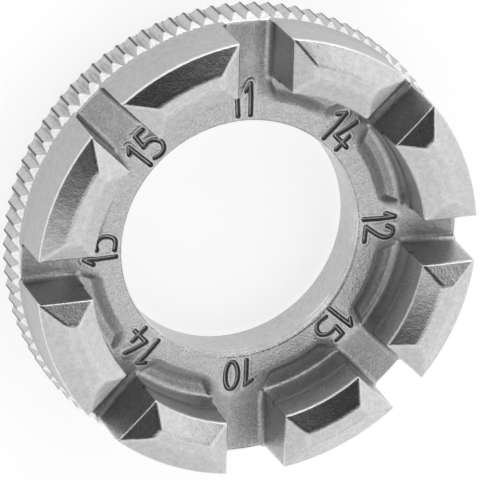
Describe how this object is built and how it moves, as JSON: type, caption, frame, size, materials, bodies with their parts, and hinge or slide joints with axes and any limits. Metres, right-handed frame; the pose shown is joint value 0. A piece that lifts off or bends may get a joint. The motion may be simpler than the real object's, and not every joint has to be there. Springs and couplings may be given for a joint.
{
  "type": "spoke wrench",
  "caption": "Round ring spoke wrench: hip-roofed jaws around an open bore leave straight nipple slots of stepped gauges, above a rim with axial grip teeth.",
  "frame": {"origin": "centre of the bore in the plane of the flat back face", "axes": "+Z along the bore axis, out of the back face towards the jaws; +Y towards the slot for 11 gauge; the slots follow clockwise seen from +Z: 11, 14, 12, 15, 10, 14, 13, 15"},
  "size_m": [0.038, 0.038, 0.0103],
  "materials": {
    "cast_plated_metal": "die-cast alloy, bead-blasted and plated to a bright satin"
  },
  "bodies": {
    "root": {"number_ring": "cast_plated_metal", "floor_ring": "cast_plated_metal", "knurled_rim": "cast_plated_metal", "jaw_15_11": "cast_plated_metal", "jaw_11_14": "cast_plated_metal", "jaw_14_12": "cast_plated_metal", "jaw_12_15": "cast_plated_metal", "jaw_15_10": "cast_plated_metal", "jaw_10_14": "cast_plated_metal", "jaw_14_13": "cast_plated_metal", "jaw_13_15": "cast_plated_metal"}
  },
  "joints": []
}
